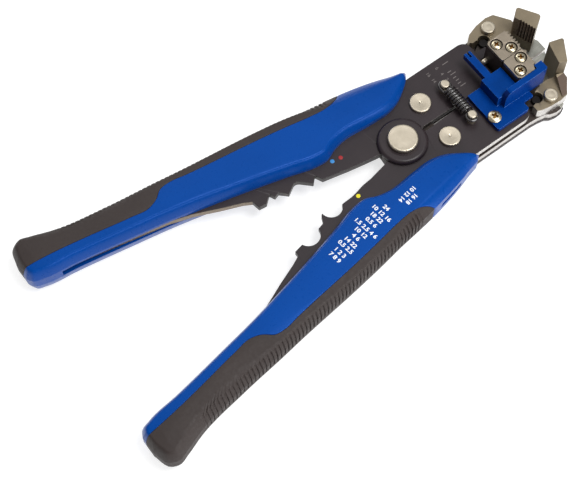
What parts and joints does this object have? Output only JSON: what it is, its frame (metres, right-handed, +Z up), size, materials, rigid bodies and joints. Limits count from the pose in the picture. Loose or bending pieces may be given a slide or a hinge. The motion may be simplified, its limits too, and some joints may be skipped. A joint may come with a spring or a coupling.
{
  "type": "automatic wire stripper",
  "caption": "Self-adjusting wire stripper: two halves on a main rivet, paired jaw levers driven by inner rockers, sliding length stop, crimping and cutting edges in the handles.",
  "frame": {"origin": "on the main rivet's axis, on the surface the tool lies on", "axes": "+Y from the rivet to the jaws, +X to the stripping side with the length stop, +Z up through the top of the tool"},
  "size_m": [0.0974, 0.206, 0.0213],
  "materials": {
    "black_plate": "black oxide satin",
    "zinc_plate": "zinc plated",
    "nickel": "nickel plated, fine turned",
    "post_steel": "bright plated",
    "shell_blue": "moulded, semi gloss",
    "grip_rubber": "ribbed soft moulding",
    "block_dark": "dark oxide",
    "sintered": "sintered, steam treated",
    "screw_plated": "plated pan head",
    "blade_steel": "ground",
    "tool_steel": "plain hardened",
    "spring_black": "oiled black wire",
    "stop_blue": "moulded"
  },
  "bodies": {
    "left_half": {"left_front_plate": "black_plate", "left_carrier_plate": "zinc_plate", "left_back_cover": "black_plate", "main_rivet": "nickel", "left_plate_rivet": "nickel", "left_spring_post": "post_steel", "left_jaw_rivet": "nickel", "left_handle_shell": "shell_blue", "left_handle_grip": "grip_rubber", "left_block": "block_dark", "left_block_plate": "sintered", "left_block_screws": "screw_plated", "left_grip_pad": "sintered", "left_cam": "tool_steel", "left_cam_key": "tool_steel", "return_spring": "spring_black", "adjuster_pin": "post_steel"},
    "right_half": {"right_front_plate": "black_plate", "right_carrier_plate": "zinc_plate", "right_back_cover": "black_plate", "right_plate_rivet": "nickel", "right_spring_post": "post_steel", "right_jaw_rivet": "nickel", "right_handle_shell": "shell_blue", "right_handle_grip": "grip_rubber", "right_block": "block_dark", "right_block_plate": "sintered", "right_block_screws": "screw_plated", "right_blade_pack": "blade_steel", "right_cam": "tool_steel", "right_cam_key": "tool_steel"},
    "left_jaw": {"left_jaw": "sintered"},
    "right_jaw": {"right_jaw": "sintered"},
    "left_rocker": {"left_rocker": "tool_steel", "left_rocker_pin": "tool_steel"},
    "right_rocker": {"right_rocker": "tool_steel", "right_rocker_pin": "tool_steel"},
    "wire_stop": {"wire_stop": "stop_blue", "wire_stop_screw": "screw_plated", "wire_stop_nut": "tool_steel"}
  },
  "joints": [
    {"name": "handle_squeeze", "type": "hinge", "parent": "left_half", "child": "right_half", "pos_m": [0, 0, 0.0055], "axis": [0, 0, 1], "range_deg": [-20.4, 0], "stiffness_Nm_per_rad": 0.8, "springref_deg": 4.58, "deforming": ["return_spring"]},
    {"name": "left_jaw_turn", "type": "hinge", "parent": "left_half", "child": "left_jaw", "pos_m": [-0.0177, 0.0545, 0.0077], "axis": [0, 0, 1], "range_deg": [-28, 0]},
    {"name": "right_jaw_turn", "type": "hinge", "parent": "right_half", "child": "right_jaw", "pos_m": [0.0177, 0.0545, 0.0077], "axis": [0, 0, 1], "range_deg": [0, 28]},
    {"name": "left_rocker_turn", "type": "hinge", "parent": "left_half", "child": "left_rocker", "pos_m": [-0.0085, 0.015, 0.0062], "axis": [0, 0, 1], "range_deg": [0, 3.7]},
    {"name": "right_rocker_turn", "type": "hinge", "parent": "right_half", "child": "right_rocker", "pos_m": [0.0085, 0.015, 0.0062], "axis": [0, 0, 1], "range_deg": [-3.7, 0]},
    {"name": "stop_slide", "type": "slide", "parent": "right_half", "child": "wire_stop", "axis": [1, 0, 0], "range_m": [0, 0.0031]}
  ],
  "couplings": [
    {"joint": "left_jaw_turn", "follows": "handle_squeeze", "ratio": 1.3725},
    {"joint": "right_jaw_turn", "follows": "handle_squeeze", "ratio": -1.3725},
    {"joint": "left_rocker_turn", "follows": "handle_squeeze", "ratio": -0.1813},
    {"joint": "right_rocker_turn", "follows": "handle_squeeze", "ratio": 0.1813}
  ]
}
